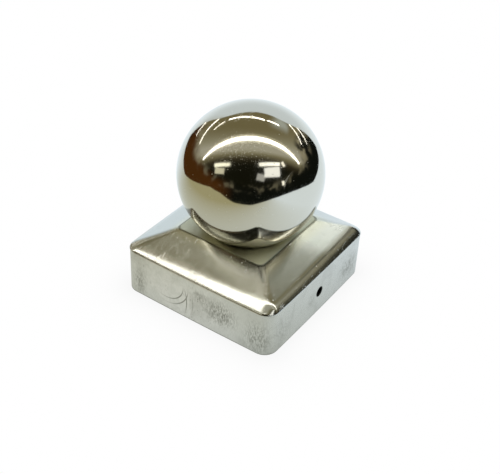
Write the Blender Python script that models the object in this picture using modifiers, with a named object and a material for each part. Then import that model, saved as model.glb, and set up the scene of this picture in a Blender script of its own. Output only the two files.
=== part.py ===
"""Ball post cap: a square cap pressed from steel sheet, with a polished ball on its flat top.

The cap is one sheet: four upright walls that fold over into a low, softly rounded pyramid, cut
off by a flat square seat. Two opposite walls have a nail hole. The ball stands on the seat with
a small flat foot. Metres, +Z up; the origin is the middle of the cap's open underside.
"""

import math

import bmesh
import bpy

# The pressed cap
POST_ROOM = 0.0720  # inside width between opposite walls
SHEET = 0.0010  # thickness of the sheet
WALL_HEIGHT = 0.0200  # straight part of a wall, up to the fold
CORNER_INSIDE = 0.0050  # inside radius of the upright corners
FOLD_INSIDE = 0.0007  # inside radius of the fold between wall and top
SHOULDER_STEEPER = math.radians(5)  # the strip just inside the fold, against the top's mean slope
SHOULDER_WIDTH = 0.0026  # how far that strip reaches in from the fold
SHOULDER_RADIUS = 0.0120  # rounding between the strip and the flat face above it
TOP_RISE = 0.0092  # height of the flat seat above the straight wall
SEAT_WIDTH = 0.0420  # flat square seat for the ball, across its sides
SEAT_CORNER = 0.0026  # plan radius of the seat's corners
SEAT_EDGE_RADIUS = 0.0015  # inside radius of the bend between the sloping faces and the seat

# The nail holes, in the two walls that face along X
NAIL_HOLE = 0.0045  # diameter
NAIL_HOLE_HEIGHT = 0.0106  # centre above the underside

# The ball
BALL_DIAMETER = 0.0600
FOOT_DIAMETER = 0.0360  # flat on its underside
SEAT_GAP = 0.0003  # between the ball's foot and the seat

# How finely round stretches are cut
CORNER_STEPS = 8
FOLD_STEPS = 5
SHOULDER_STEPS = 3
EDGE_STEPS = 4
BALL_SEGMENTS = 64
BALL_RINGS = 32
HOLE_SEGMENTS = 24

# What follows from the sizes above
OUTER_HALF = POST_ROOM / 2 + SHEET
CORNER_OUTSIDE = CORNER_INSIDE + SHEET
FOLD_OUTSIDE = FOLD_INSIDE + SHEET
SEAT_BEND = SEAT_EDGE_RADIUS + SHEET
SEAT_HEIGHT = WALL_HEIGHT + TOP_RISE
SHOULDER_SLOPE = math.atan2(TOP_RISE, OUTER_HALF - SEAT_WIDTH / 2) + SHOULDER_STEEPER
BALL_RADIUS = BALL_DIAMETER / 2
FOOT_DROP = math.sqrt(BALL_RADIUS**2 - (FOOT_DIAMETER / 2) ** 2)  # from the centre to the foot


def clear_scene():
    for old in list(bpy.data.objects):
        bpy.data.objects.remove(old)


def steel(name, colour, roughness):
    material = bpy.data.materials.new(name)
    material.use_nodes = True
    shader = material.node_tree.nodes["Principled BSDF"]
    shader.inputs["Base Color"].default_value = (*colour, 1)
    shader.inputs["Metallic"].default_value = 1
    shader.inputs["Roughness"].default_value = roughness
    return material


def arc(centre, radius, start_slope, end_slope, steps):
    """Points (out, up) on a convex arc whose surface slope goes from start_slope to end_slope."""
    points = []
    for step in range(steps + 1):
        slope = start_slope + (end_slope - start_slope) * step / steps
        out = centre[0] + radius * math.sin(slope)
        points.append((out, centre[1] + radius * math.cos(slope)))
    return points


def cap_profile():
    """(half width, plan radius of the corners, height) of each ring, from the underside up.

    The wall bends over the fold into a steep shoulder, a gentle bend joins that to the flat face,
    and the face, which touches the seat's bend, ends at the seat.
    """
    fold_centre = (OUTER_HALF - FOLD_OUTSIDE, WALL_HEIGHT)
    fold = arc(fold_centre, FOLD_OUTSIDE, math.pi / 2, SHOULDER_SLOPE, FOLD_STEPS)
    knee = (fold[-1][0] - SHOULDER_WIDTH, fold[-1][1] + SHOULDER_WIDTH * math.tan(SHOULDER_SLOPE))
    edge_centre = (SEAT_WIDTH / 2, SEAT_HEIGHT - SEAT_BEND)
    run, rise = knee[0] - edge_centre[0], edge_centre[1] - knee[1]
    face_slope = math.atan2(rise, run) + math.asin(SEAT_BEND / math.hypot(run, rise))
    back = SHOULDER_RADIUS * math.tan((SHOULDER_SLOPE - face_slope) / 2)
    bend_start = (knee[0] + back * math.cos(SHOULDER_SLOPE), knee[1] - back * math.sin(SHOULDER_SLOPE))
    bend_centre = (
        bend_start[0] - SHOULDER_RADIUS * math.sin(SHOULDER_SLOPE),
        bend_start[1] - SHOULDER_RADIUS * math.cos(SHOULDER_SLOPE),
    )
    bend = arc(bend_centre, SHOULDER_RADIUS, SHOULDER_SLOPE, face_slope, SHOULDER_STEPS)
    edge = arc(edge_centre, SEAT_BEND, face_slope, 0, EDGE_STEPS)
    rings = [(OUTER_HALF, CORNER_OUTSIDE, 0.0)]
    for half, height in fold + bend + edge:
        share = (OUTER_HALF - half) / (OUTER_HALF - SEAT_WIDTH / 2)
        rings.append((half, CORNER_OUTSIDE + (SEAT_CORNER - CORNER_OUTSIDE) * share, height))
    return rings


def add_ring(mesh, half, radius, height):
    """A closed loop of edges round a square with rounded corners. Returns its vertices."""
    vertices = []
    for corner in range(4):
        middle = math.radians(45 + 90 * corner)
        centre = (half - radius) * math.sqrt(2)
        for step in range(CORNER_STEPS + 1):
            turn = math.radians(90 * corner + 90 * step / CORNER_STEPS)
            x = centre * math.cos(middle) + radius * math.cos(turn)
            y = centre * math.sin(middle) + radius * math.sin(turn)
            vertices.append(mesh.verts.new((x, y, height)))
    return vertices


def make_cap(collection, material, cutters):
    """The pressed sheet: its outer skin is a loft of rings, which Solidify makes a sheet thick."""
    mesh = bmesh.new()
    rings = [add_ring(mesh, *ring) for ring in cap_profile()]
    for lower, upper in zip(rings, rings[1:]):
        for here in range(len(lower)):
            after = (here + 1) % len(lower)
            mesh.faces.new((lower[here], lower[after], upper[after], upper[here]))
    mesh.faces.new(rings[-1])
    data = bpy.data.meshes.new("square_cap")
    mesh.to_mesh(data)
    mesh.free()
    data.materials.append(material)
    data.shade_smooth()
    data.set_sharp_from_angle(angle=math.radians(30))
    cap = bpy.data.objects.new("square_cap", data)
    collection.objects.link(cap)
    sheet = cap.modifiers.new("sheet", "SOLIDIFY")
    sheet.thickness = SHEET
    sheet.offset = -1
    sheet.use_even_offset = True
    holes = cap.modifiers.new("nail holes", "BOOLEAN")
    holes.operation = "DIFFERENCE"
    holes.object = make_hole_cutter(cutters)
    return cap


def make_hole_cutter(collection):
    """One rod through both walls that face along X."""
    bpy.ops.mesh.primitive_cylinder_add(
        vertices=HOLE_SEGMENTS,
        radius=NAIL_HOLE / 2,
        depth=2 * OUTER_HALF + 4 * SHEET,
        location=(0, 0, NAIL_HOLE_HEIGHT),
        rotation=(0, math.pi / 2, 0),
    )
    rod = bpy.context.object
    rod.name = "nail_hole_cutter"
    rod.hide_render = True
    rod.display_type = "WIRE"
    move_to(rod, collection)
    return rod


def make_ball(collection, material):
    """A sphere cut off flat at its foot, standing on the seat."""
    bpy.ops.mesh.primitive_uv_sphere_add(
        segments=BALL_SEGMENTS,
        ring_count=BALL_RINGS,
        radius=BALL_RADIUS,
        location=(0, 0, SEAT_HEIGHT + SEAT_GAP + FOOT_DROP),
    )
    ball = bpy.context.object
    ball.name = "ball"
    ball.data.name = "ball"
    mesh = bmesh.new()
    mesh.from_mesh(ball.data)
    cut = bmesh.ops.bisect_plane(
        mesh,
        geom=mesh.verts[:] + mesh.edges[:] + mesh.faces[:],
        plane_co=(0, 0, -FOOT_DROP),
        plane_no=(0, 0, -1),
        clear_outer=True,
    )
    rim = [part for part in cut["geom_cut"] if isinstance(part, bmesh.types.BMEdge)]
    bmesh.ops.contextual_create(mesh, geom=rim)
    bmesh.ops.recalc_face_normals(mesh, faces=mesh.faces[:])
    mesh.to_mesh(ball.data)
    mesh.free()
    ball.data.materials.append(material)
    ball.data.shade_smooth()
    ball.data.set_sharp_from_angle(angle=math.radians(30))
    move_to(ball, collection)
    return ball


def move_to(thing, collection):
    for old in list(thing.users_collection):
        old.objects.unlink(thing)
    collection.objects.link(thing)


def new_collection(name):
    collection = bpy.data.collections.new(name)
    bpy.context.scene.collection.children.link(collection)
    return collection


def main():
    clear_scene()
    parts = new_collection("ball_post_cap")
    cutters = new_collection("cutters")
    pressed_steel = steel("pressed steel", (0.62, 0.61, 0.57), 0.28)
    polished_steel = steel("polished steel", (0.80, 0.78, 0.71), 0.06)
    make_cap(parts, pressed_steel, cutters)
    make_ball(parts, polished_steel)


main()
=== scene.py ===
import math

import bpy
import numpy as np
from mathutils import Matrix, Vector


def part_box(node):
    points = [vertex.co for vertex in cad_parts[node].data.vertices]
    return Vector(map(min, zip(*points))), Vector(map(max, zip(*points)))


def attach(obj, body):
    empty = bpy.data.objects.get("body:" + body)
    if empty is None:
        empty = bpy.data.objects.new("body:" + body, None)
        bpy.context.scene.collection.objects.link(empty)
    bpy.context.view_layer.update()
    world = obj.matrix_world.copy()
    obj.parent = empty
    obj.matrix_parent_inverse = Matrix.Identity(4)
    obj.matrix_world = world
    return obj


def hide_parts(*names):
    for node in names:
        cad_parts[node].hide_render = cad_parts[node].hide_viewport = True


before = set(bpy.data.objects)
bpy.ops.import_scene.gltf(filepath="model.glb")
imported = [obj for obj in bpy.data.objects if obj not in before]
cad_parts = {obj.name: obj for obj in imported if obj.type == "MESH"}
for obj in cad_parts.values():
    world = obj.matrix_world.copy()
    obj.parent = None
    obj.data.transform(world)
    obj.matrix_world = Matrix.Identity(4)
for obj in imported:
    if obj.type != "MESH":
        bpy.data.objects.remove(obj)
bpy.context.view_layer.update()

mm = 0.001
rightAngle = math.radians(90)
upwards = Vector((0, 0, 1))

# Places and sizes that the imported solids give
capHigh = np.array(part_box("square_cap")[1])
ballLow, ballHigh = (np.array(corner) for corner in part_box("ball"))


# Camera, at the photograph's viewing angle

cameraLook = {
    "azimuth": 32.946,         # degrees, from straight ahead (+Y) towards +X
    "elevation": 36.837,       # degrees above the table
    "roll": 3.197,             # degrees, the horizon tips to the right
    "distance": 389.5 * mm,
    "aimHeight": 33.3 * mm,    # the point looked at, before the two offsets below
    "aimRight": 1.070 * mm,
    "aimUp": -9.305 * mm,
    "lens": 67.40,             # millimetres on a 36 mm wide sensor
}


def directionTo(azimuth, elevation):
    # unit vector that points from the object towards a place at this azimuth and elevation, in degrees
    turn, rise = math.radians(azimuth), math.radians(elevation)
    return Vector((math.sin(turn) * math.cos(rise), -math.cos(turn) * math.cos(rise), math.sin(rise)))


def placeInScene(name, data):
    thing = bpy.data.objects.new(name, data)
    bpy.context.scene.collection.objects.link(thing)
    return thing


def makeCamera(look):
    towards = directionTo(look["azimuth"], look["elevation"])
    right = Vector((-towards.y, towards.x, 0)).normalized()
    up = towards.cross(right)
    aim = upwards * look["aimHeight"] + right * look["aimRight"] + up * look["aimUp"]
    tilt = math.radians(look["roll"])
    camRight = right * math.cos(tilt) + up * math.sin(tilt)
    camUp = up * math.cos(tilt) - right * math.sin(tilt)
    data = bpy.data.cameras.new("camera")
    data.sensor_width = 36
    data.lens = look["lens"]
    data.clip_start = 0.01
    data.clip_end = 100
    camera = placeInScene("camera", data)
    turned = Matrix((camRight, camUp, towards)).transposed().to_4x4()
    camera.matrix_world = Matrix.Translation(aim + towards * look["distance"]) @ turned
    bpy.context.scene.camera = camera


# Mesh helpers

def meshFrom(name, points, quads, triangles):
    # one closed mesh from an (n, 3) array of points and arrays of corner numbers, shaded smooth
    data = bpy.data.meshes.new(name)
    data.from_pydata(points.tolist(), [], quads.reshape(-1, 4).tolist() + triangles.tolist())
    data.validate()
    data.shade_smooth()
    return placeInScene(name, data)


def ringQuads(rings, around):
    # the four corner numbers of each cell between closed rings of points that are stored one after another
    ring = np.arange(rings - 1)[:, None] * around
    here = np.arange(around)
    after = (here + 1) % around
    corners = (ring + here, ring + after, ring + around + after, ring + around + here)
    return np.stack(np.broadcast_arrays(*corners), axis=-1)


def fan(ring, pole, turnedOver=False):
    # a triangle from each pair of neighbours on a closed ring of point numbers to one pole
    triangles = np.stack([ring, np.roll(ring, -1), np.full_like(ring, pole)], axis=1)
    return triangles[:, [1, 0, 2]] if turnedOver else triangles


def smoothStep(value, low, high):
    # 0 below low, 1 above high, and 3 s^2 - 2 s^3 of the share s in between
    share = np.clip((value - low) / (high - low), 0, 1)
    return share * share * (3 - 2 * share)


# Square cap: pressed steel sheet

cap = {
    "sheet": 1.0 * mm,
    "wall": 20.0 * mm,          # straight part of a wall
    "corner": 6.0 * mm,         # plan radius of the upright corners, outside
    "cornerPower": 0.3,         # below 1, that radius shrinks to the seat's early on the way in
    "leastCorner": 0.3 * mm,    # least plan radius of the inner skin's corners
    "fold": 1.5 * mm,           # radius of the fold between wall and top, outside
    "seat": 42.0 * mm,          # flat square for the ball, across its sides
    "seatCorner": 2.6 * mm,
    "seatEdge": 0.7 * mm,       # half width of the rounding between slope and seat
    "rimRound": 0.18 * mm,      # the sheet's cut edge is a little rounded
    "hole": 4.5 * mm,
    "holeHeight": 10.6 * mm,
    "holePatch": 4.0 * mm,      # half width of the square of wall that holds the hole's own mesh
    "holeSink": 0.12 * mm,      # the drilled edge dips in a little
    "sinkStart": 0.6,           # share of the way from the patch's edge to the hole where that starts
    "barrel": 0.30 * mm,        # walls stand out in their middle by this much, against their ends
    "barrelFade": 8.0 * mm,     # and above the wall that fades out over this height
}
shoulder = {
    # the steep strip inside the fold, at each side's start and end, counterclockwise from +X: slope in
    # degrees where the fold ends, width, and the share of the width that keeps the slope
    "slope": ((54, 54.5), (40, 38), (38, 36), (35, 32.5)),
    "width": ((2.5 * mm, 4.3 * mm), (4.0 * mm, 3.0 * mm), (3.0 * mm, 2.0 * mm), (1.1 * mm, 4.8 * mm)),
    "hold": ((0.1, 0.1), (0.2, 0.4), (0.4, 0.5), (0.3, 0.2)),
    "end": 1.3,                 # where the slope has become the face's, in widths
}
capSteps = {
    "side": 62, "patch": 10, "corner": 14,      # along a side, across a hole's patch in it, round a corner
    "rim": 3, "wall": 20, "fold": 8, "crown": 26, "seatEdge": 8, "seat": 10, "hole": 6,
    "fine": 20,                 # finer steps in each step of the crown, where its slope is summed up
    "crownPower": 1.2,          # above 1, the crown's rings lie closer by the fold
    "holePower": 1.5,           # above 1, a hole's rings lie closer by its edge
}


def ringShares():
    # where a ring's points lie: side shares from -1 to 1, some at the patch's edges, and then corner turns
    patch = cap["holePatch"] / (capHigh[0] - cap["corner"])
    outside = np.linspace(patch, 1, (capSteps["side"] - capSteps["patch"]) // 2 + 1)
    inside = np.linspace(-patch, patch, capSteps["patch"] + 1)
    side = np.concatenate([-outside[::-1], inside[1:-1], outside])
    turns = np.radians(np.linspace(0, 90, capSteps["corner"] + 1)[1:-1])
    return side, turns


def aroundCap(values):
    # a value for each point round a ring, from a start and an end value for each side: it runs evenly along
    # a side, and from one side's end to the next side's start it turns with the corner
    side, turns = ringShares()
    starts, ends = np.array(values, float).T
    straight = starts[:, None] + (ends - starts)[:, None] * (side + 1) / 2
    bend = smoothStep(turns, 0, rightAngle)
    corner = ends[:, None] * (1 - bend) + np.roll(starts, -1)[:, None] * bend
    return np.concatenate([straight, corner], axis=1).ravel()


def ringPlan(half, radius):
    # (rings, points, 2) plan positions on rounded squares: a side, then an arc, four times round.
    # half and radius have a value for each ring, or for each of its points.
    side, turns = ringShares()
    alongSide = np.tile(np.concatenate([side, np.ones_like(turns)]), 4)
    turn = np.tile(np.concatenate([np.zeros_like(side), turns]), 4)
    onArc = turn > 0
    if half.ndim == 1:
        half, radius = half[:, None], radius[:, None]
    flat = half - radius
    out = flat + radius * np.where(onArc, np.cos(turn), 1)
    along = flat * alongSide + radius * np.where(onArc, np.sin(turn), 0)
    quarter = np.repeat(np.arange(4), len(side) + len(turns))
    x = np.choose(quarter, [out, -along, -out, along])
    y = np.choose(quarter, [along, out, -along, -out])
    return np.stack([x, y], axis=-1)


def cornerRadius(half):
    # plan radius of a ring's corners: from the wall's to the seat's, then shrinking with the ring
    outer, seatHalf = capHigh[0], cap["seat"] / 2
    share = np.clip((outer - half) / (outer - seatHalf), 0, 1)
    radius = cap["corner"] + (cap["seatCorner"] - cap["corner"]) * share ** cap["cornerPower"]
    return radius * np.clip(half / seatHalf, 0, 1)


def crownGrid(half, height, slope):
    # (half width, height, slope) of the top's rings, inwards from where the fold ends, for each point of a
    # ring. The rise per run keeps the shoulder's value, falls to the face's, and fades out at the seat's
    # edge. The face's value is the one that makes every column end at the seat's height.
    width, hold = aroundCap(shoulder["width"]), aroundCap(shoulder["hold"])
    run = half - cap["seat"] / 2 + cap["seatEdge"]
    outside = run - 2 * cap["seatEdge"]
    fineSteps = capSteps["fine"]
    outerShare = np.linspace(0, 1, capSteps["crown"] * fineSteps + 1)[:, None] ** capSteps["crownPower"]
    edge = np.linspace(outside, run, capSteps["seatEdge"] * fineSteps + 1)[1:]
    fine = np.concatenate([outerShare * outside, edge])
    fading = 1 - smoothStep(fine, outside, run)
    steep = fading * (1 - smoothStep(fine / width, hold, shoulder["end"]))
    face = fading - steep
    steps = np.diff(fine, axis=0)
    steepRun, faceRun = (((part[1:] + part[:-1]) / 2 * steps).sum(axis=0) for part in (steep, face))
    faceTan = (capHigh[2] - height - np.tan(slope) * steepRun) / faceRun
    tangent = np.tan(slope) * steep + faceTan * face
    climbed = np.cumsum((tangent[1:] + tangent[:-1]) / 2 * steps, axis=0)
    some = np.arange(1, capSteps["crown"] + capSteps["seatEdge"] + 1) * fineSteps
    return np.stack([half - fine[some], height + climbed[some - 1], np.arctan(tangent[some])], axis=-1)


def capProfile():
    # (rings, points round a ring, 3) half width, height and slope of the outer skin, from the rim inwards
    half = capHigh[0]
    heights = np.linspace(cap["rimRound"], cap["wall"], capSteps["wall"] + 1)[:-1]
    for level in (cap["holeHeight"] - cap["holePatch"], cap["holeHeight"] + cap["holePatch"]):
        heights[np.abs(heights - level).argmin()] = level  # two rings run along the hole's patch
    slopeEnd = np.radians(aroundCap(shoulder["slope"]))
    upright = np.full_like(slopeEnd, rightAngle)
    wall = np.stack(np.broadcast_arrays(half, heights[:, None], upright), axis=-1)
    # the fold: an arc round (half - fold, wall) from upright to where the shoulder's slope begins
    slope = rightAngle + (slopeEnd - rightAngle) * np.linspace(0, 1, capSteps["fold"] + 1)[:, None]
    bend = cap["fold"]
    fold = np.stack([half - bend + bend * np.sin(slope), cap["wall"] + bend * np.cos(slope), slope], axis=-1)
    crown = crownGrid(fold[-1, :, 0], fold[-1, :, 1], slopeEnd)
    inwards = np.linspace(cap["seat"] / 2 - cap["seatEdge"], 0, capSteps["seat"] + 1)[1:-1, None]
    seat = np.stack(np.broadcast_arrays(inwards, capHigh[2], np.zeros_like(slopeEnd)), axis=-1)
    return np.concatenate([wall, fold, crown, seat])


def skinPoints(profile, inwards):
    # the outer skin's rings moved inwards, square to the profile's own slope, by a given distance
    half, height, slope = np.moveaxis(profile, -1, 0)
    moved = inwards * np.sin(slope)
    radius = np.maximum(cornerRadius(half) - moved, cap["leastCorner"] * half / half.max())
    plan = ringPlan(half - moved, radius)
    return np.concatenate([plan, (height - inwards * np.cos(slope))[..., None]], axis=-1)


def rimPoints(startHalf):
    # the cut edge: a half round bead from the outer skin's first ring to the inner skin's first ring
    turn = np.radians(np.linspace(0, 90, capSteps["rim"] + 1))
    inwards, up = cap["rimRound"] * (1 - np.cos(turn)), cap["rimRound"] * (1 - np.sin(turn))
    half = np.concatenate([startHalf - inwards, startHalf - cap["sheet"] + inwards[::-1]])[1:-1]
    height = np.concatenate([up, up[::-1]])[1:-1, None, None]
    plan = ringPlan(half, cap["corner"] - (startHalf - half))
    return np.concatenate([plan, np.broadcast_to(height, (*plan.shape[:2], 1))], axis=-1)


def holePatches(levels):
    # first and last row, then first and last column, of each square of wall left out for a nail hole: of the
    # inner skin and then the outer skin, in the +X wall and then in the -X wall
    side, turns = ringShares()
    left = np.abs(side * (capHigh[0] - cap["corner"]) + cap["holePatch"]).argmin()
    found = np.flatnonzero(np.abs(levels - cap["holeHeight"]) <= cap["holePatch"] + 1e-7)
    skins = (found[found < len(levels) / 2], found[found > len(levels) / 2])
    starts = (0, 2 * (len(side) + len(turns)))
    return [
        (rows[0], rows[-1], start + left, start + left + capSteps["patch"])
        for start in starts for rows in skins
    ]


def holeRings(edge, outwards):
    # (rings, points, 3) from a patch's edge, left out, to the hole's circle: a point goes straight there, and
    # the last stretch sinks against outwards, the outer skin's way along X, which is 0 for the inner skin
    middle = np.array([0, cap["holeHeight"]])
    towards = edge[:, 1:] - middle
    towards /= np.linalg.norm(towards, axis=1, keepdims=True)
    share = np.linspace(0, 1, capSteps["hole"] + 1)[1:, None, None]
    share = 1 - (1 - share) ** capSteps["holePower"]
    sunk = np.maximum(share[..., 0] - cap["sinkStart"], 0) / (1 - cap["sinkStart"])
    rings = np.repeat(edge[None], len(share), axis=0)
    rings[..., 1:] = edge[:, 1:] * (1 - share) + (middle + towards * cap["hole"] / 2) * share
    rings[..., 0] -= outwards * cap["holeSink"] * sunk
    return rings


def pressMarks(points):
    # how the pressing left the sheet: walls a little barrelled, so a wall's ends stand back from its middle.
    # A point moves in along X by its X share to the fourth power times its Y share squared, and so along Y.
    share = points[:, :2] / capHigh[0]
    standBack = cap["barrel"] * np.clip(1 - (points[:, 2:] - cap["wall"]) / cap["barrelFade"], 0, 1)
    moved = points.copy()
    moved[:, :2] -= np.sign(share) * share**4 * standBack * share[:, ::-1] ** 2
    return moved


def makeCap():
    profile = capProfile()
    outer, inner = skinPoints(profile, 0), skinPoints(profile, cap["sheet"])
    # from the inside's middle, round the rim, to the seat
    rings = np.concatenate([inner[::-1], rimPoints(profile[0, 0, 0])[::-1], outer])
    around = rings.shape[1]
    points = rings.reshape(-1, 3)
    quads = ringQuads(len(rings), around)
    keep = np.ones(quads.shape[:2], bool)
    count = len(points)
    pointBlocks, quadBlocks, bores = [points], [], []
    for number, (bottom, top, left, right) in enumerate(holePatches(rings[:, 0, 2])):
        keep[bottom:top, left:right] = False
        row, column = np.arange(bottom, top + 1) * around, np.arange(left, right + 1)
        loop = np.concatenate([
            row[0] + column[:-1], row[:-1] + right, row[-1] + column[:0:-1], row[:0:-1] + left,
        ])
        edge = points[loop]
        block = holeRings(edge, np.sign(edge[0, 0]) * (number % 2))
        blockNumbers = count + np.arange(block[..., 0].size)
        numbers = np.concatenate([loop[None], blockNumbers.reshape(len(block), -1)])
        after = np.roll(numbers, -1, axis=1)
        corners = np.stack([numbers[:-1], after[:-1], after[1:], numbers[1:]], axis=-1)
        quadBlocks.append(corners.reshape(-1, 4))
        pointBlocks.append(block.reshape(-1, 3))
        bores.append(numbers[-1])
        count += len(blockNumbers)
    points = np.concatenate(pointBlocks)
    # a hole's bore joins the inner skin's circle to the outer skin's
    for inside, outside in (bores[:2], bores[2:]):
        gaps = np.linalg.norm(points[inside][:, None, 1:] - points[outside][None, :, 1:], axis=-1)
        outside = outside[gaps.argmin(axis=1)]
        quadBlocks.append(np.stack([inside, np.roll(inside, -1), np.roll(outside, -1), outside], axis=-1))
    # both skins close on one point in the seat's middle
    poles = [[0, 0, capHigh[2] - cap["sheet"]], [0, 0, capHigh[2]]]
    firstRing = np.arange(around)
    lastRing = firstRing + (len(rings) - 1) * around
    triangles = np.concatenate([fan(firstRing, count, turnedOver=True), fan(lastRing, count + 1)])
    points = pressMarks(np.concatenate([points, poles]))
    piece = meshFrom("pressed_cap", points, np.concatenate([quads[keep], *quadBlocks]), triangles)
    fixNormals(piece)
    return piece


def fixNormals(piece):
    # all faces outwards, worked out from the closed mesh as a whole
    bpy.context.view_layer.objects.active = piece
    piece.select_set(True)
    bpy.ops.object.mode_set(mode="EDIT")
    bpy.ops.mesh.select_all(action="SELECT")
    bpy.ops.mesh.normals_make_consistent(inside=False)
    bpy.ops.object.mode_set(mode="OBJECT")
    piece.select_set(False)


# Ball

ball = {
    "footRound": 0.6 * mm,   # rounding where the foot's flat meets the ball
    "around": 256,
    "rings": 150,
    "filletRings": 6,
    "footRings": 8,
}


def makeBall():
    # a sphere as a function of longitude and polar angle, which ends in a small fillet and a flat foot
    radius = (ballHigh[0] - ballLow[0]) / 2
    centre = ballHigh[2] - radius
    footLevel = ballLow[2]
    bend = ball["footRound"]
    # the fillet's circle touches the sphere from inside and the foot's plane from above
    filletUp = footLevel + bend
    filletOut = math.sqrt((radius - bend) ** 2 - (centre - filletUp) ** 2)
    meet = math.atan2(filletOut, filletUp - centre)
    polar = np.linspace(0, meet, ball["rings"] + 1)[1:]
    skin = np.stack([radius * np.sin(polar), centre + radius * np.cos(polar)], axis=1)
    turn = np.linspace(meet, math.pi, ball["filletRings"] + 1)[1:]
    fillet = np.stack([filletOut + bend * np.sin(turn), filletUp + bend * np.cos(turn)], axis=1)
    inwards = np.linspace(filletOut, 0, ball["footRings"] + 1)[1:-1]
    foot = np.stack([inwards, np.full_like(inwards, footLevel)], axis=1)
    profile = np.concatenate([skin, fillet, foot])
    longitude = np.linspace(0, 2 * math.pi, ball["around"], endpoint=False)
    out, up = profile[:, :1], profile[:, 1:]
    grid = np.stack(np.broadcast_arrays(out * np.cos(longitude), out * np.sin(longitude), up), axis=-1)
    points = np.concatenate([grid.reshape(-1, 3), [[0, 0, centre + radius], [0, 0, footLevel]]])
    quads = ringQuads(len(profile), ball["around"])[..., ::-1]
    firstRing = np.arange(ball["around"])
    lastRing = firstRing + (len(profile) - 1) * ball["around"]
    top, bottom = len(points) - 2, len(points) - 1
    triangles = np.concatenate([fan(firstRing, top), fan(lastRing, bottom, turnedOver=True)])
    return meshFrom("polished_ball", points, quads, triangles)


# Material helpers: each adds to a node tree, and gives back the socket that has its result

def feed(tree, socket, value):
    # joins a socket to another node's output, or sets it to a plain number or colour
    if isinstance(value, bpy.types.NodeSocket):
        tree.links.new(value, socket)
    elif isinstance(value, tuple):
        socket.default_value = (*value, 1)
    else:
        socket.default_value = value


def useMath(tree, operation, first, second=0.0, clamp=False):
    node = tree.nodes.new("ShaderNodeMath")
    node.operation = operation
    node.use_clamp = clamp
    feed(tree, node.inputs[0], first)
    feed(tree, node.inputs[1], second)
    return node.outputs[0]


def times(tree, first, *others):
    for other in others:
        first = useMath(tree, "MULTIPLY", first, other)
    return first


def largest(tree, first, *others):
    for other in others:
        first = useMath(tree, "MAXIMUM", first, other)
    return first


def opposite(tree, mask):
    # 1 minus the mask
    return useMath(tree, "SUBTRACT", 1.0, mask)


def addUp(tree, total, *parts):
    # a start value plus each mask times its amount
    for mask, amount in parts:
        total = useMath(tree, "ADD", total, times(tree, mask, amount))
    return total


def useVector(tree, operation, first, second=None):
    node = tree.nodes.new("ShaderNodeVectorMath")
    node.operation = operation
    for socket, value in zip(node.inputs, (first, second)):
        if isinstance(value, bpy.types.NodeSocket):
            tree.links.new(value, socket)
        elif value is not None:
            socket.default_value = tuple(value)
    return node.outputs["Value" if operation in ("DOT_PRODUCT", "LENGTH", "DISTANCE") else "Vector"]


def useRange(tree, value, span):
    # 0 below the span's first number, 1 above its second, and smooth in between
    node = tree.nodes.new("ShaderNodeMapRange")
    node.interpolation_type = "SMOOTHSTEP"
    for label, number in zip(("Value", "From Min", "From Max"), (value, *span)):
        feed(tree, node.inputs[label], number)
    return node.outputs["Result"]


def mixColours(tree, factor, first, second):
    node = tree.nodes.new("ShaderNodeMix")
    node.data_type = "RGBA"
    for number, value in ((0, factor), (6, first), (7, second)):  # the colour sockets of a Mix node
        feed(tree, node.inputs[number], value)
    return node.outputs[2]


def useNoise(tree, place, scale, detail, distortion=0.0):
    node = tree.nodes.new("ShaderNodeTexNoise")
    tree.links.new(place, node.inputs["Vector"])
    feed(tree, node.inputs["Scale"], scale)
    node.inputs["Detail"].default_value = detail
    node.inputs["Distortion"].default_value = distortion
    return node.outputs["Fac"]


# Wear and painted light: node groups that turn their named inputs into one mask, built once and placed in
# both steels

def buildSmudges(tree, given):
    # cloudy patches, stretched by the Stretch vector
    place = useVector(tree, "MULTIPLY", given["Place"], given["Stretch"])
    cloud = useNoise(tree, place, given["Scale"], detail=5.0, distortion=0.6)
    return useRange(tree, cloud, (given["Low"], given["High"]))


def buildScratches(tree, given):
    # thin lines where a stretched noise crosses its middle value, kept only in patches
    patchScale, patchEdge = 0.35, (0.47, 0.60)  # against the lines' scale, and the noise at a patch's edge
    place = useVector(tree, "MULTIPLY", given["Place"], given["Stretch"])
    wave = useNoise(tree, place, given["Scale"], detail=1.0, distortion=0.4)
    off = useMath(tree, "ABSOLUTE", useMath(tree, "SUBTRACT", wave, 0.5))
    line = opposite(tree, useMath(tree, "DIVIDE", off, given["Thin"], clamp=True))
    patches = useNoise(tree, given["Place"], times(tree, given["Scale"], patchScale), detail=2.0)
    return times(tree, line, useRange(tree, patches, patchEdge))


def buildSpeckle(tree, given):
    # small separate specks, each in its own cell; Share of the cells have one
    speckEdge = (0.10, 0.30)  # from a cell's middle, in cells
    cells = tree.nodes.new("ShaderNodeTexVoronoi")
    tree.links.new(given["Place"], cells.inputs["Vector"])
    tree.links.new(given["Scale"], cells.inputs["Scale"])
    speck = opposite(tree, useRange(tree, cells.outputs["Distance"], speckEdge))
    chance = tree.nodes.new("ShaderNodeSeparateColor")
    tree.links.new(cells.outputs["Color"], chance.inputs[0])
    return times(tree, speck, useMath(tree, "LESS_THAN", chance.outputs[0], given["Share"]))


def buildSpot(tree, given):
    # one soft spot round a middle, with a reach along each axis
    spotEdge = (0.1, 1.0)  # in reaches
    offset = useVector(tree, "SUBTRACT", given["Place"], given["Middle"])
    share = useVector(tree, "LENGTH", useVector(tree, "DIVIDE", offset, given["Reach"]))
    return opposite(tree, useRange(tree, share, spotEdge))


def buildArc(tree, given):
    # a thin ring round a middle, where a ball of that radius cuts the surface
    offset = useVector(tree, "DISTANCE", given["Place"], given["Middle"])
    off = useMath(tree, "ABSOLUTE", useMath(tree, "SUBTRACT", offset, given["Radius"]))
    return opposite(tree, useMath(tree, "DIVIDE", off, given["Thin"], clamp=True))


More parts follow.
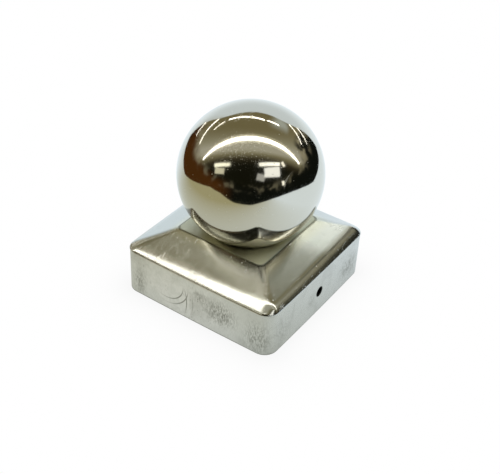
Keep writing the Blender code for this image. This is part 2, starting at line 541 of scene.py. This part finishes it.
def makeGroup(name, build, inputs):
    # build adds the group's nodes and gives back the mask's socket
    group = bpy.data.node_groups.new(name, "ShaderNodeTree")
    for label, value in {"Place": (0, 0, 0), **inputs}.items():
        kind = "NodeSocketVector" if isinstance(value, tuple) else "NodeSocketFloat"
        group.interface.new_socket(label, in_out="INPUT", socket_type=kind).default_value = value
    group.interface.new_socket("Mask", in_out="OUTPUT", socket_type="NodeSocketFloat")
    given = group.nodes.new("NodeGroupInput").outputs
    group.links.new(build(group, given), group.nodes.new("NodeGroupOutput").inputs["Mask"])
    return group


maskGroups = {
    name: makeGroup(name, build, inputs)
    for name, build, inputs in (
        ("smudges", buildSmudges, {"Stretch": (1, 1, 1), "Scale": 0.1, "Low": 0.5, "High": 0.6}),
        ("scratches", buildScratches, {"Stretch": (1, 1, 1), "Scale": 0.2, "Thin": 0.01}),
        ("speckle", buildSpeckle, {"Scale": 1.0, "Share": 0.3}),
        ("spot", buildSpot, {"Middle": (0, 0, 0), "Reach": (1, 1, 1)}),
        ("arc", buildArc, {"Middle": (0, 0, 0), "Radius": 1.0, "Thin": 0.1}),
    )
}


def useMask(tree, name, place, values):
    # one of the groups above, with its own values for the inputs
    node = tree.nodes.new("ShaderNodeGroup")
    node.node_tree = maskGroups[name]
    tree.links.new(place, node.inputs["Place"])
    for label, value in values.items():
        node.inputs[label].default_value = value
    return node.outputs["Mask"]


def useSpots(tree, place, spots):
    # the strongest of several spots, each given by its middle, reach and strength
    masks = [
        times(tree, useMask(tree, "spot", place, {"Middle": middle, "Reach": reach}), strength)
        for middle, reach, strength in spots
    ]
    return largest(tree, *masks)


def newSteel(name):
    # a metal's material, node tree and shader, and its object coordinates in millimetres
    material = bpy.data.materials.new(name)
    material.use_nodes = True
    tree = material.node_tree
    shader = tree.nodes["Principled BSDF"]
    shader.inputs["Metallic"].default_value = 1
    place = tree.nodes.new("ShaderNodeTexCoord").outputs["Object"]
    return material, tree, shader, useVector(tree, "MULTIPLY", place, [1 / mm] * 3)


# Polished steel. Places, reaches and radii are in millimetres, and scales are per millimetre.

ballLook = {
    "colour": (0.66, 0.64, 0.57),
    "dull": (0.84, 0.83, 0.77),         # colour inside specks and smudges
    "specks": {"Scale": 0.9, "Share": 0.10},
    "speckShow": 0.6,                   # how strongly they show, from 0 to 1
    "brushed": {"Middle": (7.5, -17.7, 76.0), "Reach": (17, 12, 9)},    # a finely speckled spot
    "brushedSpecks": {"Scale": 1.7, "Share": 0.9},
    "marked": {"Middle": (20.1, -21.9, 57.5), "Reach": (5, 4, 5)},      # a spot with small ring smudges
    "rings": {"Scale": 0.35, "Thin": 0.035},
    "hairline": {"Middle": (14.0, -4.0, 58.0), "Radius": 15.6, "Thin": 0.10},   # a thin curved scratch
    "hairlinePart": {"Middle": (25.4, -10.2, 65.3), "Reach": (5, 6, 5.5)},      # the part of it that shows
    "lines": {"Stretch": (1, 1, 0.3), "Scale": 0.16, "Thin": 0.006},
    "lineShow": 0.35,
    "film": {"Scale": 0.05, "Low": 0.45, "High": 0.70},     # a faint haze in large patches
    "roughness": 0.07,
    "filmRoughness": 0.03,              # what the wear adds to it
    "brushedRoughness": 0.05,
    "markRoughness": 0.45,
}


def makePolishedSteel(look):
    # mirror bright, with fine speckle, one brushed spot, faint ring smudges and a hairline
    material, tree, shader, place = newSteel("polished steel")
    specks = times(tree, useMask(tree, "speckle", place, look["specks"]), look["speckShow"])
    brushed = useMask(tree, "spot", place, look["brushed"])
    fine = times(tree, useMask(tree, "speckle", place, look["brushedSpecks"]), brushed)
    marked = useMask(tree, "spot", place, look["marked"])
    rings = times(tree, useMask(tree, "scratches", place, look["rings"]), marked)
    hairlinePart = useMask(tree, "spot", place, look["hairlinePart"])
    hairline = times(tree, useMask(tree, "arc", place, look["hairline"]), hairlinePart)
    lines = times(tree, useMask(tree, "scratches", place, look["lines"]), look["lineShow"])
    film = useMask(tree, "smudges", place, look["film"])
    marks = largest(tree, specks, fine, rings, hairline, lines)
    rough = addUp(
        tree, look["roughness"],
        (film, look["filmRoughness"]), (brushed, look["brushedRoughness"]), (marks, look["markRoughness"]),
    )
    tree.links.new(mixColours(tree, marks, look["colour"], look["dull"]), shader.inputs["Base Color"])
    tree.links.new(rough, shader.inputs["Roughness"])
    return material


# Pressed steel, in the same units

capLook = {
    "colour": (0.58, 0.595, 0.565),     # of the top
    "wall": (0.63, 0.63, 0.60),
    "topEdge": (0.2, 1.2),              # above the straight wall, where its finish turns into the top's
    "dark": (0.22, 0.22, 0.19),         # colour inside dark smudges and strokes, and of the painted shadow along the rim
    "milky": (0.99, 0.98, 0.98),        # where the surface is scuffed satin, lighter there as painted sheen
    # painted shade in the nail holes: their bores near black, which fades out this far outside their edge
    "holeShade": (0.03, 0.03, 0.025),
    "holeShadeEdge": (0.05, 0.30),
    # the seat, yellower as a painted reflection, its bright corner, a painted highlight, and painted shade in
    # its edge; heights are against the seat
    "seat": (0.58, 0.58, 0.45),
    "seatEdge": (-0.16, -0.04),
    "seatHighlight": (1.0, 1.0, 0.84),
    "seatCornerHighlight": {"Middle": (21.0, -21.0, 29.2), "Reach": (16, 16, 4)},
    "creaseShade": (0.12, 0.12, 0.08),
    "creaseShow": 0.72,
    "creaseStart": (-0.34, -0.18),
    "creaseEnd": (-0.05, -0.01),
    # painted yellow reflection on the slopes just below the seat
    "paintedYellowReflection": (0.72, 0.67, 0.40),
    "paintedYellowShow": 0.25,
    "paintedYellowHeights": (26.8, 28.9),
    # dark wear on the walls: broad smudges, and a grain that is faint all over and strong in the spots named
    # strokes, on the two front walls, each with its middle, reach and strength
    "mottle": {"Stretch": (1, 1, 0.8), "Scale": 0.10, "Low": 0.50, "High": 0.68},
    "mottleShow": 0.16,
    "grain": {"Stretch": (1.6, 1.6, 0.5), "Scale": 1.2, "Low": 0.36, "High": 0.66},
    "grainShow": 0.07,
    "strokeShow": 0.60,
    "strokes": [
        ((31.0, -37.0, 7.0), (9, 7, 12), 1.0),
        ((13.5, -37.0, 11.0), (11, 7, 9), 1.0),
        ((3.0, -37.0, 14.0), (6, 6, 5), 0.5),
        ((-28.5, -37.0, 7.0), (5, 6, 9), 0.8),
        ((37.0, 24.0, 8.5), (6, 12, 9), 0.9),
        ((37.0, -6.0, 9.5), (6, 5, 6), 0.6),
        ((37.0, -27.0, 8.0), (6, 10, 10), 0.5),
    ],
    # two near upright scratches and two curved ones beside them: middle and radius
    "curves": [
        ((-24.0, -37.0, 8.0), 20.3),
        ((-20.0, -37.0, 8.5), 19.5),
        ((-14.5, -37.0, 15.0), 9.0),
        ((-14.5, -37.0, 15.0), 11.5),
    ],
    "curveThin": 0.38,
    "curveShow": 0.9,
    "curvePart": {"Middle": (-7.0, -37.0, 8.5), "Reach": (15, 5, 9)},   # the part of them that shows
    "rimShadowShow": 0.7,                     # painted contact shadow: a thin dark line along the cut edge, where the cap stands on the sheet
    "rimShadowHeights": (0.3, 0.7),
    # satin scuffs, streaked, whose lighter colour is painted sheen: over the front left wall and the foot of
    # its slope, and two spots on the top
    "scuffsAndSheen": [
        ((-8.0, -37.0, 9.0), (50, 8, 30), 1.0),
        ((29.0, 24.0, 25.0), (12, 18, 8), 0.22),
        ((27.5, -27.5, 23.5), (5, 5, 5), 0.15),
    ],
    "streaks": {"Stretch": (1, 0.4, 1), "Scale": 0.30, "Low": 0.35, "High": 0.65},
    "streakShow": 0.3,
    # fine marks, light on the top and dark on the walls
    "scratches": {"Stretch": (1, 0.15, 0.6), "Scale": 0.55, "Thin": 0.010},
    "scratchShow": 0.25,
    "specks": {"Scale": 1.1, "Share": 0.24},
    "speckShow": 0.8,
    "speckPatches": {"Scale": 0.09, "Low": 0.50, "High": 0.62},
    "topRoughness": 0.14,
    "rubbedRoughness": 0.21,            # of the upper part of the sloping faces
    "rubbedHeights": (22.5, 25.5),      # where that starts
    "wallRoughness": 0.26,
    "seatRoughness": 0.38,
    "milkyRoughness": 0.42,
    "cornerRoughness": 0.2,             # what the seat's corner under its painted highlight adds
    "markRoughness": 0.25,              # what dark wear and fine marks add
    "unevenScale": 0.10,                # the sheet's faint waves
    "unevenHeight": 0.10,
    "markDepth": 0.15,
    "bumpStrength": 0.5,
}


def makePressedSteel(look):
    # satin walls with dark smudges and strokes, a brighter top, a scuffed front, and a dull seat; painted
    # light and shade: sheen on the scuffs, a shadow along the rim, a yellow reflection below the seat, a seat
    # tint and corner highlight, and shade in the seat's edge and the bores
    material, tree, shader, place = newSteel("pressed steel")
    height = useVector(tree, "DOT_PRODUCT", place, upwards)
    fromWall = useMath(tree, "SUBTRACT", height, cap["wall"] / mm)
    fromSeat = useMath(tree, "SUBTRACT", height, float(capHigh[2]) / mm)
    wall = opposite(tree, useRange(tree, fromWall, look["topEdge"]))
    seat = useRange(tree, fromSeat, look["seatEdge"])

    # dark wear on the walls, and the painted contact shadow along the rim
    mottle = useMask(tree, "smudges", place, look["mottle"])
    grain = useMask(tree, "smudges", place, look["grain"])
    strokeSpots = useSpots(tree, place, look["strokes"])
    strokes = times(tree, grain, addUp(tree, look["grainShow"], (strokeSpots, look["strokeShow"])))
    curves = largest(tree, *[
        useMask(tree, "arc", place, {"Middle": middle, "Radius": radius, "Thin": look["curveThin"]})
        for middle, radius in look["curves"]
    ])
    curves = times(tree, curves, useMask(tree, "spot", place, look["curvePart"]), look["curveShow"])
    # painted contact shadow: a thin dark line along the cut edge, at the foot of the walls
    rim = times(tree, opposite(tree, useRange(tree, height, look["rimShadowHeights"])), look["rimShadowShow"])
    dark = largest(tree, addUp(tree, strokes, (mottle, look["mottleShow"])), curves, rim)
    dark = times(tree, dark, wall)

    # fine scratches and specks
    scratches = times(tree, useMask(tree, "scratches", place, look["scratches"]), look["scratchShow"])
    speckPatches = useMask(tree, "smudges", place, look["speckPatches"])
    specks = times(tree, useMask(tree, "speckle", place, look["specks"]), speckPatches, look["speckShow"])
    fine = largest(tree, scratches, specks)

    # satin scuffs, in streaks, lighter as painted sheen
    streaks = useMask(tree, "smudges", place, look["streaks"])
    streaks = addUp(tree, 1 - look["streakShow"], (streaks, look["streakShow"]))
    scuffedAndSheen = times(tree, useSpots(tree, place, look["scuffsAndSheen"]), streaks)

    # painted shade in the seat's edge, the painted highlight on its corner, and the painted shade of the
    # bores: everything close to a hole's axis
    creaseStart = useRange(tree, fromSeat, look["creaseStart"])
    creaseEnd = opposite(tree, useRange(tree, fromSeat, look["creaseEnd"]))
    creaseShade = times(tree, creaseStart, creaseEnd, look["creaseShow"])
    # painted highlight on the seat's near corner, which also gets more roughness
    seatCornerHighlight = useMask(tree, "spot", place, look["seatCornerHighlight"])
    # painted shade in the nail holes, near black on the bores
    fromAxis = useVector(tree, "SUBTRACT", place, (0, 0, cap["holeHeight"] / mm))
    fromAxis = useVector(tree, "LENGTH", useVector(tree, "MULTIPLY", fromAxis, (0, 1, 1)))
    fromEdge = useMath(tree, "SUBTRACT", fromAxis, cap["hole"] / mm / 2)
    holeShade = opposite(tree, useRange(tree, fromEdge, look["holeShadeEdge"]))

    colour = mixColours(tree, wall, look["colour"], look["wall"])
    # painted yellow reflection on the slopes just below the seat
    paintedYellow = times(tree, useRange(tree, height, look["paintedYellowHeights"]), look["paintedYellowShow"])
    # the seat's yellower colour is a painted reflection, with the painted highlight on its near corner
    seatColour = mixColours(tree, seatCornerHighlight, look["seat"], look["seatHighlight"])
    fineColour = mixColours(tree, wall, look["milky"], look["dark"])
    for mask, over in (
        (paintedYellow, look["paintedYellowReflection"]), (scuffedAndSheen, look["milky"]), (dark, look["dark"]), (seat, seatColour),
        (creaseShade, look["creaseShade"]), (fine, fineColour), (holeShade, look["holeShade"]),
    ):
        colour = mixColours(tree, mask, colour, over)
    tree.links.new(colour, shader.inputs["Base Color"])

    cornerAdds = addUp(
        tree, look["seatRoughness"] - look["rubbedRoughness"], (seatCornerHighlight, look["cornerRoughness"]),
    )
    upper = useRange(tree, height, look["rubbedHeights"])
    rough = addUp(
        tree, look["topRoughness"],
        (wall, look["wallRoughness"] - look["topRoughness"]),
        (upper, look["rubbedRoughness"] - look["topRoughness"]),
        (seat, cornerAdds),
        (scuffedAndSheen, look["milkyRoughness"] - look["topRoughness"]),
        (useMath(tree, "ADD", dark, fine), look["markRoughness"]),
    )
    tree.links.new(rough, shader.inputs["Roughness"])

    # the fine marks and the sheet's faint unevenness, as height
    uneven = useNoise(tree, place, look["unevenScale"], detail=2.0)
    raised = addUp(tree, 0.0, (uneven, look["unevenHeight"]), (fine, -look["markDepth"]))
    bump = tree.nodes.new("ShaderNodeBump")
    bump.inputs["Strength"].default_value = look["bumpStrength"]
    bump.inputs["Distance"].default_value = 1.0 * mm
    tree.links.new(raised, bump.inputs["Height"])
    tree.links.new(bump.outputs[0], shader.inputs["Normal"])
    return material


# Stage: a pale sheet, an arched board behind it, strip lights overhead, soft windows, lamps and a dim room

stageLook = {
    # outline of the sheet, in metres across to the right and away from the camera
    "sheet": [
        (-0.27, 0.36), (-0.24, 0.20), (-0.19, 0.06), (-0.38, -0.09), (-0.80, -0.48), (-0.44, -0.50),
        (-0.10, -0.25), (0.01, -0.25), (0.11, -0.34), (0.28, -0.45), (0.52, -0.44), (0.55, -0.27),
        (0.41, -0.07), (0.25, 0.05), (0.26, 0.23), (0.31, 0.36),
    ],
    "boardAway": 0.36,          # metres, from the object's middle to the board behind it
    "boardHeight": 0.385,
    "boardLeft": 0.27,          # how far it reaches to either side of the middle
    "boardRight": 0.31,
    "boardRound": 0.13,         # radius of its two upper corners
    "roundSteps": 12,
    "warmShade": (0.46, 0.43, 0.25),    # of the sheet as metal sees it, at its dim end, front left
    "coolShade": (0.91, 1.01, 1.08),    # and at its bright end, back right
    "coolHere": 0.70,           # share of the cool shade where the object stands
    "coolPower": 1.4,
    "across": 3.1,              # how fast the shade turns from warm to cool, per metre to the right
    "away": 1.7,                # per metre away from the camera
    "up": 3.0,                  # and per metre up the board
    "awayMost": 0.46,           # the most that away and up turn it
    "behind": 0.45,             # how much cooler it is behind the object
    "behindEdge": (0.0, 0.2),   # where that starts, in what away and up turn it
    "boardDim": 0.16,           # painted shade: how much darker the board gets with height
    "dimHeights": (0.02, 0.20),
    "contactShadow": 0.16,            # painted contact shadow: how much darker the sheet is right beside the cap
    "contactReach": 7.0 * mm,
    "cameraShadow": 0.07,       # the faint shadow that the camera sees beside the cap
}


def stageAxes():
    # unit vectors across the picture to the right, and level away from the camera
    away = -directionTo(cameraLook["azimuth"], 0)
    return Vector((away.y, -away.x, 0)), away


def stagePlace(across, away, up):
    sideways, onwards = stageAxes()
    return sideways * across + onwards * away + upwards * up


def useEmission(tree, colour, strength):
    node = tree.nodes.new("ShaderNodeEmission")
    feed(tree, node.inputs["Color"], colour)
    tree.links.new(strength, node.inputs["Strength"])
    return node.outputs[0]


def makeSheetMaterial(name, look):
    # a pale sheet: burnt out white for the camera, and for metal a shade that turns from warm and dim to
    # cool and bright towards the back right; both with a little painted shadow beside the cap, and painted
    # dark under it
    material = bpy.data.materials.new(name)
    material.use_nodes = True
    tree = material.node_tree
    tree.nodes.remove(tree.nodes["Principled BSDF"])
    place = tree.nodes.new("ShaderNodeTexCoord").outputs["Object"]
    # distance outside the cap's rounded square
    straight = float(capHigh[0]) - cap["corner"]
    beyond = useVector(tree, "SUBTRACT", useVector(tree, "ABSOLUTE", place), [straight] * 3)
    beyond = useVector(tree, "MULTIPLY", useVector(tree, "MAXIMUM", beyond, (0, 0, 0)), (1, 1, 0))
    gap = useMath(tree, "SUBTRACT", useVector(tree, "LENGTH", beyond), cap["corner"])
    # painted contact shadow beside the cap, and painted shade under it
    near = useMath(tree, "EXPONENT", times(tree, gap, -1 / look["contactReach"]))
    uncovered = opposite(tree, useMath(tree, "LESS_THAN", gap, -cap["sheet"] / 2))
    # where the sheet turns from warm to cool
    across, away = stageAxes()
    sideways = useVector(tree, "DOT_PRODUCT", place, across * look["across"])
    onwards = useVector(tree, "DOT_PRODUCT", place, away * look["away"] + upwards * look["up"])
    turned = useMath(tree, "ADD", sideways, useMath(tree, "MINIMUM", onwards, look["awayMost"]))
    turned = addUp(tree, turned, (useRange(tree, onwards, look["behindEdge"]), look["behind"]))
    cool = useMath(tree, "ADD", turned, look["coolHere"], clamp=True)
    cool = useMath(tree, "POWER", cool, look["coolPower"])
    shade = mixColours(tree, cool, look["warmShade"], look["coolShade"])
    level = useVector(tree, "DOT_PRODUCT", place, upwards)
    dim = useRange(tree, level, look["dimHeights"])
    lit = addUp(tree, 1.0, (near, -look["contactShadow"]), (dim, -look["boardDim"]))
    seen = addUp(tree, 1.0, (near, -look["cameraShadow"]))
    mix = tree.nodes.new("ShaderNodeMixShader")
    tree.links.new(tree.nodes.new("ShaderNodeLightPath").outputs["Is Camera Ray"], mix.inputs[0])
    tree.links.new(useEmission(tree, shade, times(tree, lit, uncovered)), mix.inputs[1])
    tree.links.new(useEmission(tree, (1, 1, 1), times(tree, seen, uncovered)), mix.inputs[2])
    tree.links.new(mix.outputs[0], tree.nodes["Material Output"].inputs["Surface"])
    return material


def flatPiece(name, outline, material):
    # one flat face through a list of (across, away, up) places
    data = bpy.data.meshes.new(name)
    data.from_pydata([tuple(stagePlace(*place)) for place in outline], [], [list(range(len(outline)))])
    data.materials.append(material)
    piece = placeInScene(name, data)


def makeStage(look):
    material = makeSheetMaterial("pale sheet", look)
    flatPiece("sheet", [(across, away, 0) for across, away in look["sheet"]], material)
    left, right = look["boardLeft"], look["boardRight"]
    height, bend, distance = look["boardHeight"], look["boardRound"], look["boardAway"]
    turns = np.radians(np.linspace(0, 90, look["roundSteps"] + 1))
    corner = [(bend * (1 - math.cos(turn)), height - bend * (1 - math.sin(turn))) for turn in turns]
    rightSide = [(right - inwards, distance, up) for inwards, up in corner]
    leftSide = [(inwards - left, distance, up) for inwards, up in reversed(corner)]
    flatPiece("board", [(-left, distance, 0), (right, distance, 0), *rightSide, *leftSide], material)


stripColour = (1.0, 0.97, 0.90)
ceiling = 2.05  # metres

lightLook = {
    # name: (radiance, colour, middle (across, away, up) and size in metres, degrees about the upright)
    "main strip": (3.7, stripColour, (-0.3, -0.10, ceiling), (13.0, 0.24), 0),
    "main glow": (0.22, (1.0, 0.95, 0.70), (-0.3, -0.10, 2.10), (9.0, 0.55), 0),
    "second strip left": (5.0, stripColour, (-1.98, 1.79, ceiling), (1.0, 0.06), 2),
    "second strip": (6.0, stripColour, (-0.38, 1.58, ceiling), (1.78, 0.10), -14),
    "second strip right": (6.0, stripColour, (0.93, 1.42, ceiling), (0.66, 0.08), 5),
    "left strip": (5.0, stripColour, (-4.4, 3.05, ceiling), (4.3, 0.2), 2),
    "far left strip": (4.0, stripColour, (-11.5, 12.7, ceiling), (11.5, 0.9), -29),
    "right strip": (3.4, stripColour, (3.4, 2.60, ceiling), (2.4, 0.2), -12),
    "far right strip": (3.4, stripColour, (5.7, 5.30, ceiling), (5.3, 0.35), 18),
    # close over the far end of the right slope, which mirrors it
    "corner lamp": (0.54, (0.94, 1.0, 0.96), (0.060, 0.028, 0.055), (0.044, 0.040), 0),
}

softboxLook = {
    # name: (radiance, colour, and in degrees azimuth to the left of away, elevation, width, height, tilt)
    "right window, upper": (1.9, (1.0, 0.99, 0.90), -142, 43, 32, 5, -18),
    "right window, lower": (1.3, (1.0, 1.0, 0.97), -142, 31, 24, 14, -14),
    "right window, foot": (0.5, (1.0, 1.0, 0.95), -163, 27, 12, 10, -20),
    "left window, upper": (1.7, (1.0, 0.98, 0.80), 126, 32, 25, 5, 34),
    "left window, lower": (0.8, (1.0, 0.96, 0.72), 127, 23, 15, 8, 24),
    "small lamp": (1.6, (1.0, 0.97, 0.85), -129, 11, 4, 6, 0),
    "side lamp": (1.5, (1.0, 0.97, 0.85), -118, 34, 4, 7, 0),
}


def addLight(name, radiance, colour, middle, facing, size, turned):
    # a rectangle of light that the metal mirrors and the camera doesn't see
    data = bpy.data.lights.new(name, "AREA")
    data.shape = "RECTANGLE"
    data.size, data.size_y = size
    data.color = colour
    data.energy = radiance * math.pi * size[0] * size[1]
    light = placeInScene(name, data)
    turn = Matrix.Rotation(math.radians(turned), 4, "Z")
    light.matrix_world = Matrix.Translation(middle) @ facing.to_4x4() @ turn
    light.visible_camera = False


def makeStrip(name, radiance, colour, place, size, turned):
    # a level light that shines down
    across, away = stageAxes()
    facing = Matrix((across, away, upwards)).transposed()
    addLight(name, radiance, colour, stagePlace(*place), facing, size, turned)


def makeSoftbox(name, radiance, colour, azimuth, elevation, width, height, tilt):
    # a light on a sphere of one metre round the ball's middle, so its size in radians is its size in metres
    across, away = stageAxes()
    turn, rise = math.radians(azimuth), math.radians(elevation)
    outwards = (away * math.cos(turn) - across * math.sin(turn)) * math.cos(rise) + upwards * math.sin(rise)
    middle = upwards * ((ballLow[2] + ballHigh[2]) / 2) + outwards
    facing = outwards.to_track_quat("Z", "Y").to_matrix()
    addLight(name, radiance, colour, middle, facing, (math.radians(width), math.radians(height)), tilt)


# Places in the room are parts of the unit direction from the object: up, ahead (away from the camera), and
# sideways to the right. A pair of them is where something starts to show and where it shows in full.

roomLook = {
    # the dim room above the stage: (place from the dark behind the camera to the far end, colour)
    "ramp": [
        (-0.30, (0.008, 0.008, 0.004)), (-0.13, (0.04, 0.032, 0.016)), (0.14, (0.25, 0.225, 0.13)),
        (0.34, (0.47, 0.45, 0.35)), (0.65, (0.48, 0.46, 0.37)), (0.95, (0.35, 0.33, 0.23)),
        (1.40, (0.20, 0.17, 0.085)),
    ],
    "tilt": 1.4,                # how much further the dark reaches up behind the camera than in front
    "leftDark": (0.075, 0.028, 0.006),
    "rightDark": (0.006, 0.007, 0.005),
    "darkSides": (-0.8, -0.35), # sideways, from the left dark's colour to the right dark's
    "darkUp": (0.06, 0.34),     # up, from that dark to the room
    "clutter": (0.34, 0.31, 0.21),      # faint lighter patches in the dark
    "clutterScale": 5.0,
    "clutterEdge": (0.46, 0.62),        # the noise where a patch starts
    "clutterUp": (0.0, 0.30),
    "raise": 0.34,              # how much higher that dark reaches at the right
    "raiseAhead": (0.05, 0.30),
    "raiseSideways": (0.5, 0.85),
    "glow": (0.46, 0.49, 0.44),         # pale light high up, ahead and to the right
    "glowSideways": (0.25, 0.45),
    "glowAhead": (0.32, 0.60),
    "glowUp": (0.45, 0.62),
}


def makeRoom(look):
    # white for the camera; for the metal a dim khaki room, dark behind the camera and low down
    world = bpy.data.worlds.new("room")
    world.use_nodes = True
    tree = world.node_tree
    direction = tree.nodes.new("ShaderNodeTexCoord").outputs["Generated"]
    across, away = stageAxes()
    sideways = useVector(tree, "DOT_PRODUCT", direction, across)
    ahead = useVector(tree, "DOT_PRODUCT", direction, away)
    height = useVector(tree, "DOT_PRODUCT", direction, upwards)

    climb = useVector(tree, "DOT_PRODUCT", direction, upwards + away * look["tilt"])
    stops = look["ramp"]
    low, high = stops[0][0], stops[-1][0]
    ramp = tree.nodes.new("ShaderNodeValToRGB")
    tree.links.new(useRange(tree, climb, (low, high)), ramp.inputs[0])
    while len(ramp.color_ramp.elements) < len(stops):
        ramp.color_ramp.elements.new(0.5)
    for element, (place, colour) in zip(ramp.color_ramp.elements, stops):
        element.position = (place - low) / (high - low)
        element.color = (*colour, 1)

    dark = mixColours(tree, useRange(tree, sideways, look["darkSides"]), look["leftDark"], look["rightDark"])
    noise = useNoise(tree, direction, look["clutterScale"], detail=3.0)
    patches = useRange(tree, noise, look["clutterEdge"])
    patches = times(tree, patches, useRange(tree, height, look["clutterUp"]))
    dark = mixColours(tree, patches, dark, look["clutter"])
    raised = times(
        tree, useRange(tree, ahead, look["raiseAhead"]), useRange(tree, sideways, look["raiseSideways"]),
        look["raise"],
    )
    height = useMath(tree, "SUBTRACT", height, raised)
    room = mixColours(tree, useRange(tree, height, look["darkUp"]), dark, ramp.outputs[0])
    glow = times(
        tree, useRange(tree, sideways, look["glowSideways"]), useRange(tree, ahead, look["glowAhead"]),
        useRange(tree, height, look["glowUp"]),
    )
    room = mixColours(tree, glow, room, look["glow"])
    cameraRay = tree.nodes.new("ShaderNodeLightPath").outputs["Is Camera Ray"]
    tree.links.new(mixColours(tree, cameraRay, room, (1, 1, 1)), tree.nodes["Background"].inputs["Color"])
    bpy.context.scene.world = world


# Putting it together

makeCamera(cameraLook)
print("camera set")

pressedCap = makeCap()
pressedCap.data.materials.append(makePressedSteel(capLook))
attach(pressedCap, "root")
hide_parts("square_cap")
print("square cap made:", len(pressedCap.data.polygons), "faces")

polishedBall = makeBall()
polishedBall.data.materials.append(makePolishedSteel(ballLook))
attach(polishedBall, "root")
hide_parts("ball")
print("ball made:", len(polishedBall.data.polygons), "faces")

makeStage(stageLook)
for lightName, values in lightLook.items():
    makeStrip(lightName, *values)
for lightName, values in softboxLook.items():
    makeSoftbox(lightName, *values)
makeRoom(roomLook)
bpy.context.scene.view_settings.view_transform = "Standard"
print("stage and lights made")
